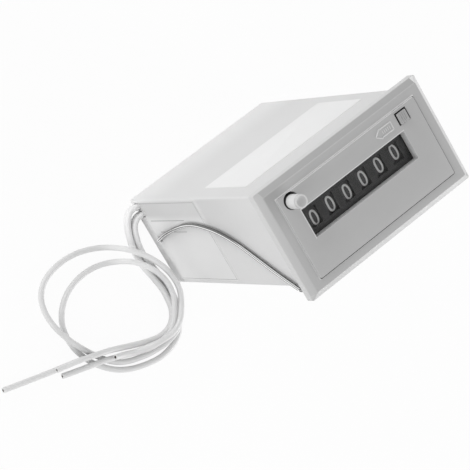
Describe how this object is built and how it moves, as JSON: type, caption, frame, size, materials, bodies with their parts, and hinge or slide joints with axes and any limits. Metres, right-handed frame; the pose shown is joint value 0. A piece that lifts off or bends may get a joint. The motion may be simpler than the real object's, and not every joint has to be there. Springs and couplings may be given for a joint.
{
  "type": "electromagnetic counter",
  "caption": "Slim panel-mount electromagnetic counter with number wheels behind a window, a push reset, a lock slide, a wire mounting spring and insulated leads.",
  "frame": {"origin": "middle of the case's rear face, where it stands", "axes": "+X along the row of digits, +Y to the reset button's side, +Z out of the front"},
  "size_m": [0.12, 0.0461, 0.085],
  "materials": {
    "case_plastic": "fine satin moulding",
    "bezel_plastic": "satin moulding",
    "plate_plastic": "smooth satin sheet",
    "window": "clear polished sheet",
    "button_plastic": "smooth moulding",
    "wheel_plastic": "dark moulding with light figures",
    "gear_plastic": "natural nylon",
    "frame_steel": "plated sheet",
    "pin_steel": "turned, bright",
    "spring_steel": "bright drawn wire",
    "brass": "plain",
    "enamelled_copper": "enamelled winding wire",
    "lead_insulation": "smooth insulation sleeve"
  },
  "bodies": {
    "housing": {"case": "case_plastic", "rear_cover": "case_plastic", "rear_screw_1": "pin_steel", "rear_screw_2": "pin_steel", "bezel": "bezel_plastic", "face_plate": "plate_plastic", "window_lens": "window", "figure_mask": "wheel_plastic", "left_side_frame": "frame_steel", "right_side_frame": "frame_steel", "upper_frame_bar": "frame_steel", "lower_frame_bar": "frame_steel", "wheel_shaft": "pin_steel", "pinion_shaft": "pin_steel", "armature_pin": "pin_steel", "armature_spring": "spring_steel", "yoke": "frame_steel", "core": "frame_steel", "coil_bobbin": "gear_plastic", "coil_winding": "enamelled_copper", "lead_grip": "case_plastic", "reset_button_spring": "spring_steel", "lead_1": "lead_insulation", "lead_2": "lead_insulation", "lead_3": "lead_insulation", "lead_4": "lead_insulation"},
    "button": {"reset_button": "button_plastic"},
    "comb": {"reset_comb": "gear_plastic"},
    "lock": {"lock_slide": "button_plastic"},
    "armature_body": {"armature": "frame_steel"},
    "wire": {"mounting_spring": "spring_steel"},
    "wheel_6": {"number_wheel_6": "wheel_plastic", "escape_wheel": "brass"},
    "wheel_5": {"number_wheel_5": "wheel_plastic"},
    "wheel_4": {"number_wheel_4": "wheel_plastic"},
    "wheel_3": {"number_wheel_3": "wheel_plastic"},
    "wheel_2": {"number_wheel_2": "wheel_plastic"},
    "wheel_1": {"number_wheel_1": "wheel_plastic"},
    "pinion_5": {"transfer_pinion_5": "gear_plastic"},
    "pinion_4": {"transfer_pinion_4": "gear_plastic"},
    "pinion_3": {"transfer_pinion_3": "gear_plastic"},
    "pinion_2": {"transfer_pinion_2": "gear_plastic"},
    "pinion_1": {"transfer_pinion_1": "gear_plastic"}
  },
  "joints": [
    {"name": "units_wheel_turn", "type": "hinge", "parent": "housing", "child": "wheel_6", "pos_m": [0, 0.0016, 0.0677], "axis": [1, 0, 0], "continuous": true},
    {"name": "wheel_5_turn", "type": "hinge", "parent": "housing", "child": "wheel_5", "pos_m": [0, 0.0016, 0.0677], "axis": [1, 0, 0], "continuous": true},
    {"name": "wheel_4_turn", "type": "hinge", "parent": "housing", "child": "wheel_4", "pos_m": [0, 0.0016, 0.0677], "axis": [1, 0, 0], "continuous": true},
    {"name": "wheel_3_turn", "type": "hinge", "parent": "housing", "child": "wheel_3", "pos_m": [0, 0.0016, 0.0677], "axis": [1, 0, 0], "continuous": true},
    {"name": "wheel_2_turn", "type": "hinge", "parent": "housing", "child": "wheel_2", "pos_m": [0, 0.0016, 0.0677], "axis": [1, 0, 0], "continuous": true},
    {"name": "wheel_1_turn", "type": "hinge", "parent": "housing", "child": "wheel_1", "pos_m": [0, 0.0016, 0.0677], "axis": [1, 0, 0], "continuous": true},
    {"name": "pinion_5_turn", "type": "hinge", "parent": "housing", "child": "pinion_5", "pos_m": [0, -0.00825, 0.06154], "axis": [1, 0, 0], "continuous": true},
    {"name": "pinion_4_turn", "type": "hinge", "parent": "housing", "child": "pinion_4", "pos_m": [0, -0.00825, 0.06154], "axis": [1, 0, 0], "continuous": true},
    {"name": "pinion_3_turn", "type": "hinge", "parent": "housing", "child": "pinion_3", "pos_m": [0, -0.00825, 0.06154], "axis": [1, 0, 0], "continuous": true},
    {"name": "pinion_2_turn", "type": "hinge", "parent": "housing", "child": "pinion_2", "pos_m": [0, -0.00825, 0.06154], "axis": [1, 0, 0], "continuous": true},
    {"name": "pinion_1_turn", "type": "hinge", "parent": "housing", "child": "pinion_1", "pos_m": [0, -0.00825, 0.06154], "axis": [1, 0, 0], "continuous": true},
    {"name": "reset_button_press", "type": "slide", "parent": "housing", "child": "button", "axis": [0, 0, -1], "range_m": [0, 0.003], "stiffness_N_per_m": 150, "springref_m": -0.004, "deforming": ["reset_button_spring"]},
    {"name": "reset_comb_rock", "type": "hinge", "parent": "housing", "child": "comb", "pos_m": [0, 0.0026, 0.0542], "axis": [-1, 0, 0], "range_deg": [0, 26.1]},
    {"name": "lock_slide_shift", "type": "slide", "parent": "housing", "child": "lock", "axis": [-1, 0, 0], "range_m": [0, 0.00045]},
    {"name": "armature_swing", "type": "hinge", "parent": "housing", "child": "armature_body", "pos_m": [0, -0.0104, 0.0447], "axis": [-1, 0, 0], "range_deg": [0, 3], "stiffness_Nm_per_rad": 0.01, "springref_deg": -11.46},
    {"name": "mounting_spring_swing", "type": "hinge", "parent": "housing", "child": "wire", "pos_m": [0, 0.0009, 0.0049], "axis": [1, 0, 0], "range_deg": [0, 75]}
  ],
  "couplings": [
    {"joint": "wheel_5_turn", "follows": "units_wheel_turn", "ratio": 0.1},
    {"joint": "wheel_4_turn", "follows": "units_wheel_turn", "ratio": 0.01},
    {"joint": "wheel_3_turn", "follows": "units_wheel_turn", "ratio": 0.001},
    {"joint": "wheel_2_turn", "follows": "units_wheel_turn", "ratio": 0.0001},
    {"joint": "wheel_1_turn", "follows": "units_wheel_turn", "ratio": 0.00001},
    {"joint": "pinion_5_turn", "follows": "units_wheel_turn", "ratio": -0.25},
    {"joint": "pinion_4_turn", "follows": "units_wheel_turn", "ratio": -0.025},
    {"joint": "pinion_3_turn", "follows": "units_wheel_turn", "ratio": -0.0025},
    {"joint": "pinion_2_turn", "follows": "units_wheel_turn", "ratio": -0.00025},
    {"joint": "pinion_1_turn", "follows": "units_wheel_turn", "ratio": -0.000025},
    {"joint": "reset_comb_rock", "follows": "reset_button_press", "rad_per_m": 151.26}
  ]
}
